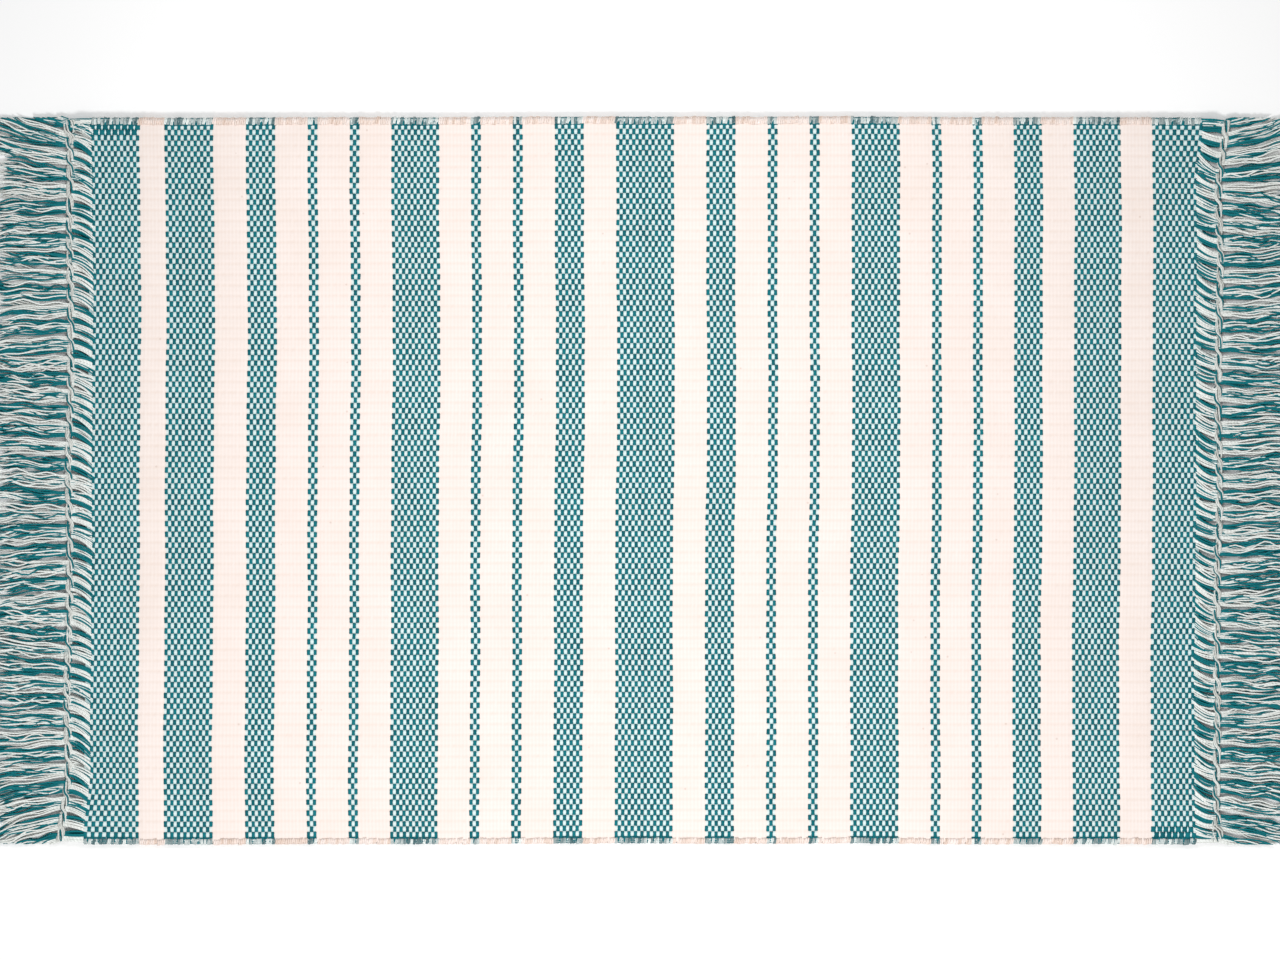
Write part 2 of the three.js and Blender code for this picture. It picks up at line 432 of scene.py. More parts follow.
def twisted_yarn(tree, dark, light, depth, over_check=()):
    """Loose twisted cotton yarn: matte, with the slanting furrows of its twist, and its own shade to each yarn.
    The furrows and the yarn's low flanks take painted shade towards the dark colour. depth is how much of the
    dark shade the furrows take, and over_check holds both shades over a check."""
    tint = add(tree, "ShaderNodeAttribute", attribute_name="tint").outputs["Fac"]
    along = add(tree, "ShaderNodeAttribute", attribute_name="along").outputs["Fac"]
    around = add(tree, "ShaderNodeAttribute", attribute_name="around").outputs["Vector"]
    # One turn of the ply each 2.4 mm, which is as fine as shows from a metre away, out of step between yarns.
    start = add(tree, "ShaderNodeMath", {0: tint, 1: 97.0}, operation="MULTIPLY")
    turns = 2 * math.pi / (2.4 * MM)
    phase = add(tree, "ShaderNodeMath", {0: along, 1: turns, 2: start}, operation="MULTIPLY_ADD")
    cosine = add(tree, "ShaderNodeMath", {0: phase}, operation="COSINE")
    sine = add(tree, "ShaderNodeMath", {0: phase}, operation="SINE")
    turned = add(tree, "ShaderNodeCombineXYZ", {0: cosine, 1: sine})
    ply = add(tree, "ShaderNodeVectorMath", {0: turned, 1: around}, operation="DOT_PRODUCT")
    # Painted shade in the furrows of the twist.
    furrow = add(tree, "ShaderNodeMapRange", {"Value": ply, 1: -1.0, 2: 0.6, 3: depth, 4: 0.0})
    place = add(tree, "ShaderNodeTexCoord").outputs["Object"]
    fuzz = add(tree, "ShaderNodeTexNoise", {"Vector": place, "Scale": 900.0, "Detail": 2.0})
    worn = add(tree, "ShaderNodeMath", {0: fuzz, 1: 0.5, 2: -0.25}, operation="MULTIPLY_ADD")
    # Little light reaches the fibres low on a yarn's sides, where it lies against the next.
    flank = add(tree, "ShaderNodeAttribute", attribute_name="flank").outputs["Fac"]
    total = add(tree, "ShaderNodeMath", {0: flank, 1: 0.38, 2: tint}, operation="MULTIPLY_ADD")
    total = add(tree, "ShaderNodeMath", {0: total, 1: furrow}, operation="ADD")
    total = add(tree, "ShaderNodeMath", {0: total, 1: worn}, operation="ADD", use_clamp=True)
    check = add(tree, "ShaderNodeAttribute", attribute_name="check").outputs["Fac"]
    dark_check, light_check = over_check or (dark, light)
    bright = add(tree, "ShaderNodeMix", {"Factor": check, 6: light, 7: light_check},
                 data_type="RGBA")
    deep = add(tree, "ShaderNodeMix", {"Factor": check, 6: dark, 7: dark_check}, data_type="RGBA")
    body = add(tree, "ShaderNodeMix", {"Factor": total, 6: bright, 7: deep}, data_type="RGBA")
    bump = add(tree, "ShaderNodeBump", {"Height": ply, "Strength": 0.5, "Distance": 0.2 * MM})
    return {"Base Color": body, "Normal": bump, "Roughness": 0.9, "Specular IOR Level": 0.2}


def undyed_twisted_cotton(tree, colours):
    """Undyed yarn, off-white, and browner where it lies deep in the fringe, as painted shade."""
    return twisted_yarn(tree, colours.fringe_shade, colours.fringe_white, 0.22)


def cream_twisted_cotton(tree, colours):
    """The cream weft where it turns at the selvedges, cooler over the checks, where the dyed edge shows."""
    over_check = (colours.check_edge, colours.fringe_white)
    return twisted_yarn(tree, colours.cream_gap, colours.cream, 0.2, over_check)


def teal_twisted_cotton(tree, colours):
    """The dyed warp where it hangs loose."""
    return twisted_yarn(tree, colours.loose_teal_deep, colours.loose_teal, 0.4)


def pale_floor(tree, colours):
    """Painted floor, plain and matte."""
    return {"Base Color": colours.floor, "Roughness": 0.95}


# ------------------------------------------------------------
# Cloth


def relief(draft, weave, first, last, on_face):
    """One layer of plain weave on a grid with two steps to a pick and two to a warp row.
    Returns x, y, height, how deep each point is in a gap, and whether it is in a check band."""
    rng = np.random.default_rng(weave.seed + 2 * first + on_face)
    columns, lines = 2 * (last - first) + 1, 2 * draft.rows + 1
    edges = draft.edges[first:last + 1]
    x = np.empty(columns)
    x[0::2] = edges
    x[1::2] = (edges[1:] + edges[:-1]) / 2
    y = np.linspace(-draft.reach, draft.reach, lines)
    x, y = (a.copy() for a in np.meshgrid(x, y, indexing="ij"))
    picks = np.arange(first, last)[:, None]
    rows = np.arange(draft.rows)[None, :]
    weft_over = (picks + rows) % 2 == 0
    check = np.broadcast_to((draft.check[first:last] == on_face)[:, None], weft_over.shape)
    # Heights are shares of the relief. The first of each two is a check's, and the other is a plain band's.
    height = np.zeros((columns, lines))
    height[1::2, 1::2] = np.where(weft_over, np.where(check, 0.55, 0.36), np.where(check, -0.35, 0.3))
    # The edges between picks lean towards the sunken cell of a check, which makes the weft floats the wider.
    before = np.vstack((weft_over[:1], weft_over))
    check_edge = np.vstack((check[:1], check)) & np.vstack((check, check[-1:]))
    lean = np.where(before, 0.17, -0.17) * np.where(check_edge, 1, 0.3) * MM
    lean += rng.normal(0, 0.06 * MM, lean.shape)
    lean[[0, -1]] = 0
    x[0::2, 1::2] += lean
    x[0 if first == 0 else -1] += rng.normal(0, 0.3 * MM, lines)
    height[0::2, 1::2] = 0.02
    # In a plain band the warp lies in pairs, with a faint broken line between one pair and the next.
    pair = np.arange(draft.rows + 1)[None, :] % 2 == 0
    broken = rng.normal(0, 0.09, (last - first, draft.rows + 1))
    height[1::2, 0::2] = np.where(check[:, :1], -0.1, np.where(pair, -0.04 + broken, 0.14))
    height[0::2, 0::2] = np.where(check_edge[:, :1], -0.27, np.where(pair, -0.26, -0.08))
    y[1::2, 2:-1:2] += rng.normal(0, 0.09 * MM, y[1::2, 2:-1:2].shape)
    # How deep each point lies in a gap; the cream cotton darkens there as painted shade.
    gap = np.clip(0.25 - height, 0, 0.7) / 0.7
    height = height * weave.relief + rng.normal(0, 0.03 * MM, height.shape)
    height -= seam_dip(x[:, 0], draft, weave)[:, None]
    in_check = np.zeros(columns)
    in_check[1::2] = check[:, 0]
    in_check[0::2] = np.concatenate((check[:1, 0], check[1:, 0] & check[:-1, 0], check[-1:, 0]))
    return x, y, height, gap, np.broadcast_to(in_check[:, None], height.shape)


def cloth_layer(name, draft, weave, side, on_face):
    """One layer of one half of the cloth as a closed slab, woven outside and flat towards the other layer."""
    first, last = picks_of(draft, side)
    x, y, height, gap, check = relief(draft, weave, first, last, on_face)
    columns, lines = x.shape
    middle = draft.thickness / 2
    up = 1 if on_face else -1
    z = middle + up * (draft.crown + height)
    top = np.stack((x, y, z), -1).reshape(-1, 3)
    inner = middle + up * 0.02 * MM  # the two layers lie a hair apart
    low = np.stack((x[:, 0], y[:, 0], np.full(columns, inner)), -1)
    high = np.stack((x[:, -1], y[:, -1], np.full(columns, inner)), -1)
    points = np.vstack((top, low, high))
    grid = np.arange(columns * lines).reshape(columns, lines)
    low_row = columns * lines + np.arange(columns)
    high_row = low_row + columns
    quads = [np.stack((grid[:-1, :-1], grid[1:, :-1], grid[1:, 1:], grid[:-1, 1:]), -1).reshape(-1, 4)]
    quads.append(np.stack((low_row[:-1], low_row[1:], grid[1:, 0], grid[:-1, 0]), -1))
    quads.append(np.stack((grid[:-1, -1], grid[1:, -1], high_row[1:], high_row[:-1]), -1))
    quads.append(np.stack((low_row[:-1], high_row[:-1], high_row[1:], low_row[1:]), -1))
    quads = np.concatenate(quads)
    start = np.concatenate((grid[0], [high_row[0], low_row[0]]))
    end = np.concatenate((grid[-1, ::-1], [low_row[-1], high_row[-1]]))
    if not on_face:
        quads, start, end = quads[:, ::-1], start[::-1], end[::-1]
    loops = np.concatenate((quads.ravel(), start, end))
    counts = np.concatenate((np.full(len(quads), 4), [len(start), len(end)]))
    mesh = polygons(name, points, loops, counts)
    rim = np.zeros(2 * columns)
    put(mesh, "gap", np.concatenate((gap.ravel(), rim)))
    put(mesh, "check", np.concatenate((check.ravel(), rim)))
    return link(name, mesh)


def float_shape(length, width):
    """One short float of warp: a flat bundle that arches up between two picks and dives under both."""
    flat_x, flat_y = 0.3 * length, 0.36 * width
    end_x, side_y = 0.5 * length, 0.5 * width
    top, side, end = 0.5 * MM, 0.2 * MM, -0.62 * MM
    points = [(-flat_x, -flat_y, top), (flat_x, -flat_y, top), (flat_x, flat_y, top), (-flat_x, flat_y, top)]
    points += [(-flat_x, -side_y, side), (flat_x, -side_y, side), (end_x, -flat_y, end), (end_x, flat_y, end)]
    points += [(flat_x, side_y, side), (-flat_x, side_y, side), (-end_x, flat_y, end), (-end_x, -flat_y, end)]
    faces = [(0, 1, 2, 3), (4, 5, 1, 0), (6, 7, 2, 1), (8, 9, 3, 2), (10, 11, 0, 3)]
    faces += [(5, 6, 1), (7, 8, 2), (9, 10, 3), (11, 4, 0), (11, 10, 9, 8, 7, 6, 5, 4)]
    loops = [corner for face in faces for corner in face]
    return polygons("warp_float", points, loops, [len(face) for face in faces])


def loop_shape(draft, weave):
    """One turn of the weft at a selvedge: two yarns side by side round the cloth's edge, from face to back.
    It is drawn for the near edge, with the edge itself at y = 0."""
    radius, middle = 0.62 * MM, draft.thickness / 2
    apart, slope = 1.15 * MM, 1.5 * MM  # between the two yarns, and from a yarn's upper end to its lower one
    steps, sides = 7, 5
    points, faces = [], []
    for yarn in (-0.5, 0.5):
        base = len(points)
        for i in range(steps + 1):
            turn = math.pi * i / steps
            inward = weave.selvedge * (1 - math.sin(turn) ** 0.8) + radius
            level = middle + (middle - radius) * math.cos(turn)
            slant = (0.5 - i / steps) * slope
            # The section's two directions: along the mat, and square to the turn.
            out = Vector((0, -math.sin(turn), math.cos(turn)))
            for k in range(sides):
                a = 2 * math.pi * k / sides
                along = math.cos(a) * radius
                away = math.sin(a) * radius
                points.append((yarn * apart + slant + along, inward + out.y * away, level + out.z * away))
        for i in range(steps):
            for k in range(sides):
                a, b = base + i * sides + k, base + i * sides + (k + 1) % sides
                faces.append((a, b, b + sides, a + sides))
        faces.append(tuple(base + k for k in range(sides))[::-1])
        faces.append(tuple(base + steps * sides + k for k in range(sides)))
    loops = [corner for face in faces for corner in face]
    return polygons("weft_turn", points, loops, [len(face) for face in faces])


def copies_tree():
    """Lays a copy of a shape on every point, turned and stretched as the point says and a little at random.
    Each copy keeps a random tint."""
    tree, given, result = geometry_tree("lay_copies", [
        ("Shape", "NodeSocketObject", None),
        ("Size jitter", "NodeSocketFloat", 0.07),
        ("Turn jitter", "NodeSocketFloat", 0.06),
        ("Shades", "NodeSocketFloat", 1.0),
        ("Seed", "NodeSocketInt", 0),
        ("Material", "NodeSocketMaterial", None),
    ])
    seed, turns, sizes = (given.outputs[name] for name in ("Seed", "Turn jitter", "Size jitter"))
    shape = add(tree, "GeometryNodeObjectInfo", {"Object": given.outputs["Shape"]}).outputs["Geometry"]
    facing = add(tree, "GeometryNodeInputNamedAttribute", {"Name": "facing"}, data_type="FLOAT_VECTOR")
    stretch = add(tree, "GeometryNodeInputNamedAttribute", {"Name": "stretch"}, data_type="FLOAT_VECTOR")
    less = add(tree, "ShaderNodeMath", {0: turns, 1: -1.0}, operation="MULTIPLY")
    turn = add(tree, "FunctionNodeRandomValue", {2: less, 3: turns, "Seed": seed}, data_type="FLOAT")
    twist = add(tree, "ShaderNodeCombineXYZ", {2: turn})
    facing = add(tree, "ShaderNodeVectorMath", {0: facing, 1: twist}, operation="ADD")
    small = add(tree, "ShaderNodeMath", {0: 1.0, 1: sizes}, operation="SUBTRACT")
    large = add(tree, "ShaderNodeMath", {0: 1.0, 1: sizes}, operation="ADD")
    other = add(tree, "ShaderNodeMath", {0: seed, 1: 1.0}, operation="ADD")
    size = add(tree, "FunctionNodeRandomValue", {0: small, 1: large, "Seed": other}, data_type="FLOAT_VECTOR")
    size = add(tree, "ShaderNodeVectorMath", {0: stretch, 1: size}, operation="MULTIPLY")
    laid = add(tree, "GeometryNodeInstanceOnPoints", {
        "Points": given.outputs["Geometry"], "Instance": shape, "Rotation": facing, "Scale": size})
    last = add(tree, "ShaderNodeMath", {0: seed, 1: 2.0}, operation="ADD")
    tint = add(tree, "FunctionNodeRandomValue", {3: given.outputs["Shades"], "Seed": last}, data_type="FLOAT")
    kept = add(tree, "GeometryNodeStoreNamedAttribute", {"Geometry": laid, "Name": "tint", "Value": tint},
               data_type="FLOAT", domain="INSTANCE")
    real = add(tree, "GeometryNodeRealizeInstances", {0: kept})
    done = add(tree, "GeometryNodeSetMaterial", {0: real, "Material": given.outputs["Material"]})
    tree.links.new(done.outputs[0], result.inputs[0])
    return tree


def lay_copies(name, shape, places, facing, stretch, seed, material,
               size_jitter=0.07, turn_jitter=0.06, shades=1.0, check=1):
    """A piece made of copies of a shape, one at each place. shades is how far their tints differ, and check
    says which copies are over a check band."""
    points = bpy.data.meshes.new(name)
    points.vertices.add(len(places))
    points.vertices.foreach_set("co", np.asarray(places, np.float32).ravel())
    put(points, "facing", np.broadcast_to(facing, (len(places), 3)), "FLOAT_VECTOR")
    put(points, "stretch", np.broadcast_to(stretch, (len(places), 3)), "FLOAT_VECTOR")
    put(points, "check", np.broadcast_to(check, len(places)))
    template = link("template", shape)
    tree = bpy.data.node_groups.get("lay_copies") or copies_tree()
    obj = grow(link(name, points), tree, {
        "Shape": template, "Size jitter": size_jitter, "Turn jitter": turn_jitter, "Shades": shades,
        "Seed": seed, "Material": material})
    bpy.data.objects.remove(template)
    bpy.data.meshes.remove(shape)
    return obj


def warp_floats(name, draft, weave, side, on_face, material):
    """The teal floats on one side of one half: every other cell of the checks, and all of their outer rows."""
    first, last = picks_of(draft, side)
    picks = np.arange(first, last)[:, None]
    # Beyond the outermost row on each side lies a further one, which the turns of the weft half hide.
    rows = np.arange(-1, draft.rows + 1)[None, :]
    solid = (rows < 1) | (rows > draft.rows - 2)
    over = ((picks + rows) % 2 == 1) | solid
    over &= (draft.check[first:last] == on_face)[:, None]
    # In the end band, the warp is crowded at the corner that isn't pulled outwards and hides more of the weft.
    plain = np.nonzero(~draft.check)[0]
    end_band = (picks < plain[0]) if side < 0 else (picks > plain[-1])
    crowded = end_band & ((rows > draft.rows - 4) if side < 0 else (rows < 3)) & ~solid
    pick, row = np.nonzero(over)
    longer = np.where(crowded[pick, row], 1.7, 1)
    pick += first
    row = np.clip(row - 1, -0.2, draft.rows - 0.8)
    further = (row < 0) | (row > draft.rows - 1)
    outermost = (row == 0) | (row == draft.rows - 1)
    pitch = draft.edges[pick + 1] - draft.edges[pick]
    rng = np.random.default_rng(weave.seed + 11 * on_face + first)
    x = (draft.edges[pick] + draft.edges[pick + 1]) / 2 + rng.normal(0, 0.05 * MM, len(pick))
    y = (row + 0.5) * weave.warp_pitch - draft.reach + rng.normal(0, 0.06 * MM, len(pick))
    y -= np.where(outermost, np.where(y > 0, 1.1, -0.3), 0) * MM  # the turns press the outermost rows inwards
    dip = seam_dip(x, draft, weave) + np.where(further, 0.8, 0.15 * outermost) * MM
    up = 1 if on_face else -1
    z = draft.thickness / 2 + up * (draft.crown - dip)
    facing = (0, 0, 0) if on_face else (math.pi, 0, 0)
    stretch = np.stack((longer * pitch / weave.check_pick, np.ones(len(pick)), np.ones(len(pick))), 1)
    shape = float_shape(weave.float_length, weave.warp_pitch)
    seed = weave.seed + 3 * on_face + side
    return lay_copies(name, shape, np.stack((x, y, z), 1), facing, stretch, seed, material)


def selvedge_turns(name, draft, weave, side, edge, material):
    """The turns of the weft along one long edge of one half. edge is -1 for the near edge and 1 for the far
    one."""
    first, last = picks_of(draft, side)
    start, end, check = draft.edges[first:last], draft.edges[first + 1:last + 1], draft.check[first:last]
    rng = np.random.default_rng(weave.seed + 5 * side + edge)
    x = (start + end) / 2 + rng.normal(0, 0.16 * MM, len(check))
    y = edge * (draft.edge + rng.normal(0, 0.2 * MM, len(check)))
    places = np.stack((x, y, np.zeros(len(check))), 1)
    facing = (0, 0, 0) if edge < 0 else (0, 0, math.pi)
    # The turns are thin over the checks, where the dyed edge shows between them, and longer at the far edge.
    wide = np.where(check, 0.82, (end - start) / weave.check_pick)
    inward, thick = 1.05 if edge > 0 else 0.82, 1.06
    stretch = np.stack((wide, np.full(len(check), inward), np.full(len(check), thick)), 1)
    seed = weave.seed + 40 + side + 7 * edge
    return lay_copies(name, loop_shape(draft, weave), places, facing, stretch, seed, material,
                      size_jitter=0.05, turn_jitter=0.17, shades=0.85, check=check)


# ------------------------------------------------------------
# Loose yarns


def yarns_tree():
    """Gives each line of points a round section, as thick as its points say."""
    tree, given, result = geometry_tree("spin_yarns", [
        ("Sides", "NodeSocketInt", 5),
        ("Thickness", "NodeSocketFloat", 1.2 * MM),
        ("Material", "NodeSocketMaterial", None),
    ])
    lines = add(tree, "GeometryNodeMeshToCurve", {0: given.outputs["Geometry"]})
    run = add(tree, "GeometryNodeSplineParameter").outputs["Length"]
    lines = add(tree, "GeometryNodeStoreNamedAttribute", {"Geometry": lines, "Name": "along", "Value": run},
                data_type="FLOAT")
    sides = given.outputs["Sides"]
    ring = add(tree, "GeometryNodeCurvePrimitiveCircle", {"Resolution": sides, "Radius": 1.0})
    centre = add(tree, "GeometryNodeInputPosition")
    ring = add(tree, "GeometryNodeStoreNamedAttribute", {"Geometry": ring, "Name": "around", "Value": centre},
               data_type="FLOAT_VECTOR")
    fullness = add(tree, "GeometryNodeInputNamedAttribute", {"Name": "fullness"}, data_type="FLOAT")
    half = add(tree, "ShaderNodeMath", {0: given.outputs["Thickness"], 1: 0.5}, operation="MULTIPLY")
    radius = add(tree, "ShaderNodeMath", {0: fullness, 1: half}, operation="MULTIPLY")
    tube = add(tree, "GeometryNodeCurveToMesh", {
        "Curve": lines, "Profile Curve": ring, "Scale": radius, "Fill Caps": True})
    smooth = add(tree, "GeometryNodeSetShadeSmooth", {0: tube})
    done = add(tree, "GeometryNodeSetMaterial", {0: smooth, "Material": given.outputs["Material"]})
    tree.links.new(done.outputs[0], result.inputs[0])
    return tree


def spin_yarns(name, lines, tints, yarn, material, fullness=1.0, taper=0):
    """A piece made of yarns. lines holds yarns x points x 3, tints one shade for each yarn, and taper is how
    many points at the end thin out. Each point of the piece keeps how far it lies on its yarn's flank."""
    lines = np.asarray(lines, float)
    count, steps = lines.shape[:2]
    mesh = bpy.data.meshes.new(name)
    mesh.vertices.add(count * steps)
    mesh.vertices.foreach_set("co", lines.astype(np.float32).ravel())
    index = np.arange(count * steps).reshape(count, steps)
    pairs = np.stack((index[:, :-1], index[:, 1:]), -1).reshape(-1, 2)
    mesh.edges.add(len(pairs))
    mesh.edges.foreach_set("vertices", pairs.astype(np.int32).ravel())
    full = np.full((count, steps), float(fullness))
    if taper:
        full[:, -taper:] *= np.linspace(0.9, 0.35, taper)
    put(mesh, "fullness", full)
    put(mesh, "tint", np.repeat(tints, steps))
    tree = bpy.data.node_groups.get("spin_yarns") or yarns_tree()
    obj = grow(link(name, mesh), tree, {
        "Sides": yarn.sides, "Thickness": yarn.thickness, "Material": material})
    upright = np.abs(read(obj.data.vertex_normals, "vector", width=3)[:, 2])
    put(obj.data, "flank", 1 - ease(upright, 0.2, 0.85))
    return obj


def cord_line(place, side):
    """The middle of a cord: its x, its height, and half its length."""
    low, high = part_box(place + "_twined_cord")
    return (low.x + high.x) / 2, (low.z + high.z) / 2, (high.y - low.y) / 2


def gathered(y, offset, yarn):
    """Where the cord holds the yarns that reach it at y, offset in their bundle: closer together, and drawn a
    little towards the nearest crossing."""
    crossing = np.round(y / yarn.cord_twist) * yarn.cord_twist
    return y + 0.35 * (crossing - y) + 0.75 * offset


def bundle_places(draft, weave, is_teal):
    """The middle of each bundle of one colour across the mat. The teal bundles lie between the undyed ones."""
    pitch = 2 * weave.warp_pitch
    count = draft.rows // 2 + 1
    places = (np.arange(count) - (count - 1) / 2) * pitch
    return np.minimum(places + is_teal * weave.warp_pitch, draft.edge - 2 * MM)


def bundle_yarns(places, offsets, rng):
    """Every yarn of every bundle: its place in the mat, its place in its bundle and its shade."""
    at = np.repeat(places, len(offsets))
    offset = np.tile(offsets, len(places))
    return at, offset, rng.random(len(at))


def heading_lines(draft, yarn, place, side, at, offset, level, rng):
    """Yarns from inside the cloth's edge to the cord, level out of the cord and then down into the cloth."""
    cord_x, cord_z, _ = cord_line(place, side)
    cloth_x = draft.seams[0] if side < 0 else draft.seams[-1]
    steps = 8
    t = np.linspace(0, 1, steps)[None, :]  # from the cloth to the cord
    # Neighbours lean together, more in some places than in others, and upright at the mat's edges.
    together = 1 + 0.22 * np.sin(at / (17 * MM)) + 0.15 * np.sin(at / (4.3 * MM))
    lean = -side * yarn.heading_lean * (together + rng.normal(0, 0.1, len(at)))
    lean *= 1 - ease(np.abs(at), 225 * MM, 252 * MM)
    start_x = cloth_x - side * (2.2 + rng.random(len(at))) * MM
    start_y = at + offset
    end_x = cord_x - side * 1.0 * MM  # inside the cord
    end_y = gathered(at + lean, offset, yarn)
    x = start_x[:, None] + (end_x - start_x)[:, None] * t
    rise = 1 - (1 - t) ** 1.8  # it leaves the cloth steeply and levels out before the cord
    y = start_y[:, None] + (end_y - start_y)[:, None] * rise
    bow = np.sin(math.pi * np.clip(t * 1.05, 0, 1))
    y += bow * rng.normal(0, 0.5 * MM, len(at))[:, None]
    soft, room = draft.edge - 5 * MM, 4.3 * MM  # the outermost yarns crowd together inside the mat's edge
    y = np.sign(y) * (np.minimum(np.abs(y), soft) + room * np.tanh(np.maximum(np.abs(y) - soft, 0) / room))
    middle = draft.thickness / 2
    z = middle + level[:, None] * (0.8 + 0.4 * bow) * (1 - 0.85 * ease(t, 0.55, 0.9)) + (cord_z - middle) * t
    return np.stack((x, y, z), -1)


def bundle(width, count):
    """Where the yarns of a bundle lie side by side."""
    return np.linspace(-width / 2, width / 2, count)


def add_heading(draft, weave, yarn, place, side, material, is_teal):
    """All the yarns of one colour in one heading, in three levels of which the middle one is darker, as painted
    shade.
    """
    rng = np.random.default_rng(yarn.seed + 3 * side + 50 * is_teal)
    offsets = bundle(TEAL_BUNDLE, 4) if is_teal else bundle(4.4 * MM, 5)
    places = bundle_places(draft, weave, is_teal)
    lines, tints = [], []
    # The middle level is darkened as painted shade.
    for height, layer_shade in ((1.7, 0), (0.2, 0.1), (-1.7, 0)):
        at, offset, tint = bundle_yarns(places, offsets, rng)
        own = rng.random(len(at)) - 0.5
        shared = np.repeat(rng.random(len(places)) - 0.5, len(offsets))
        level = (height + 0.5 * own + 0.5 * shared) * MM
        lines.append(heading_lines(draft, yarn, place, side, at, offset, level, rng))
        tints.append(layer_shade + 0.12 * tint)
    name = f"{place}_heading_{'teal' if is_teal else 'undyed'}_yarns"
    return spin_yarns(name, np.concatenate(lines), np.concatenate(tints), yarn, material)


def add_cord(draft, weave, yarn, place, side, material, is_teal):
    """The yarns of one colour in one twined cord. Its two plies cross every cord_twist, and each ply is four
    yarns side by side, one of them teal."""
    cord_x, cord_z, half = cord_line(place, side)
    half += 2 * MM  # the loose ends stand out a little
    step = 1.5 * MM
    y = np.linspace(-half, half, int(2 * half / step))
    rng = np.random.default_rng(yarn.seed + side)
    uneven = 0.5 * np.sin(y / (31 * MM) + side) + 0.3 * np.sin(y / (12 * MM))
    loose = ease(-side * y, half - 20 * MM, half - 6 * MM)  # one end of each cord frays open
    # A ply's reach from the middle of the cord, and a yarn's from the middle of its ply.
    ply_x, ply_z, spread = 1.5 * MM, 1.1 * MM, 0.8 * MM
    lines = []
    for ply in (0, 1):
        turn = math.pi * y / yarn.cord_twist + ply * math.pi + uneven
        for strand in range(4):
            if (strand == 2 * ply) != is_teal:
                continue
            spin = 2 * math.pi * (y / (41 * MM) + strand / 4) + 0.4 * np.sin(y / (9 * MM) + strand)
            reach_x = ply_x * (1 + 0.3 * loose) * np.tanh(2.5 * np.cos(turn))
            reach_x += spread * (1 + 1.3 * loose) * np.cos(spin)
            reach_z = ply_z * np.sin(turn) + spread * np.sin(spin)
            x = cord_x + reach_x + 0.5 * MM * np.sin(y / (23 * MM) + 2 * side)
            lines.append(np.stack((x, y, cord_z + reach_z), -1))
    tints = 0.22 + 0.3 * rng.random(len(lines))
    name = f"{place}_cord_{'teal' if is_teal else 'undyed'}_plies"
    return spin_yarns(name, lines, tints, yarn, material, fullness=1.15)


def smooth_noise(rng, count, reach):
    """One random value for each of a row of bundles, alike among neighbours within reach."""
    raw = rng.normal(0, 1, count + 2 * reach)
    window = np.hanning(2 * reach + 3)[1:-1]
    found = np.convolve(raw, window / np.sqrt((window ** 2).sum()), "same")
    return found[reach:-reach]


def trimmed(lines, limit):
    """Cuts each yarn short where it would pass the line of the mat's long edge."""
    steps = lines.shape[1]
    share = np.linspace(0, 1, steps)
    for index in np.nonzero(np.abs(lines[:, :, 1]).max(1) > limit)[0]:
        line = lines[index]
        past = max(1, int(np.argmax(np.abs(line[:, 1]) > limit)))
        before, after = abs(line[past - 1, 1]), abs(line[past, 1])
        part = (limit - before) / (after - before) if after > before else 0
        cut = share[past - 1] + (share[past] - share[past - 1]) * part
        kept = share * max(cut, 0.12)
        for axis in range(3):
            line[:, axis] = np.interp(kept, share, line[:, axis].copy())
    return lines


def fringe_lines(draft, yarn, place, side, at, offset, drift, phase, short, level, rng):
    """Yarns from the middle of the cord to their tips: they fall to the floor, then wander and cross."""
    cord_x, cord_z, _ = cord_line(place, side)
    tip_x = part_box(place + "_fringe")[0 if side < 0 else 1].x
    steps = 14
    s = np.linspace(0, 1, steps)[None, :]  # from the cord to the tip
    uneven = yarn.tip_spread * (0.75 * short + 0.25 * rng.random(len(at)))
    length = side * (tip_x - cord_x) - uneven
    x = cord_x + side * length[:, None] * s
    wave, wave_start, tip, roll, apart = rng.normal(0, 1, (5, len(at), 1))
    # A bundle's wave, a yarn's own wave, and how far its tip strays.
    sway, ripple, stray = 1.0 * MM, 0.6 * MM, 1.8 * MM
    y = gathered(at, offset, yarn)[:, None] + 0.35 * (offset[:, None] + MM * apart) * ease(s, 0, 0.35)
    y = y + drift[:, None] * s ** 1.3
    y = y + sway * np.sin(2 * math.pi * (1.6 * s + phase[:, None])) * s ** 0.5
    y = y + ripple * wave * np.sin(2 * math.pi * (2.4 * s + wave_start)) * ease(s, 0, 0.2)
    y = y + stray * tip * s ** 2.5
    flare = yarn.flare * np.sign(at) * ease(np.abs(at), 185 * MM, 245 * MM)
    y = y + flare[:, None] * s ** 1.15
    fall = ease(s, 0, 0.3)
    z = cord_z * (1 - fall) + level[:, None] * fall
    z = z + 0.5 * MM * np.sin(2 * math.pi * (0.9 * s + roll)) * fall
    lowest = yarn.thickness / 2 + 0.02 * MM
    lines = np.stack((x, y, np.maximum(z, lowest)), -1)
    return trimmed(lines, draft.edge - 0.3 * MM)


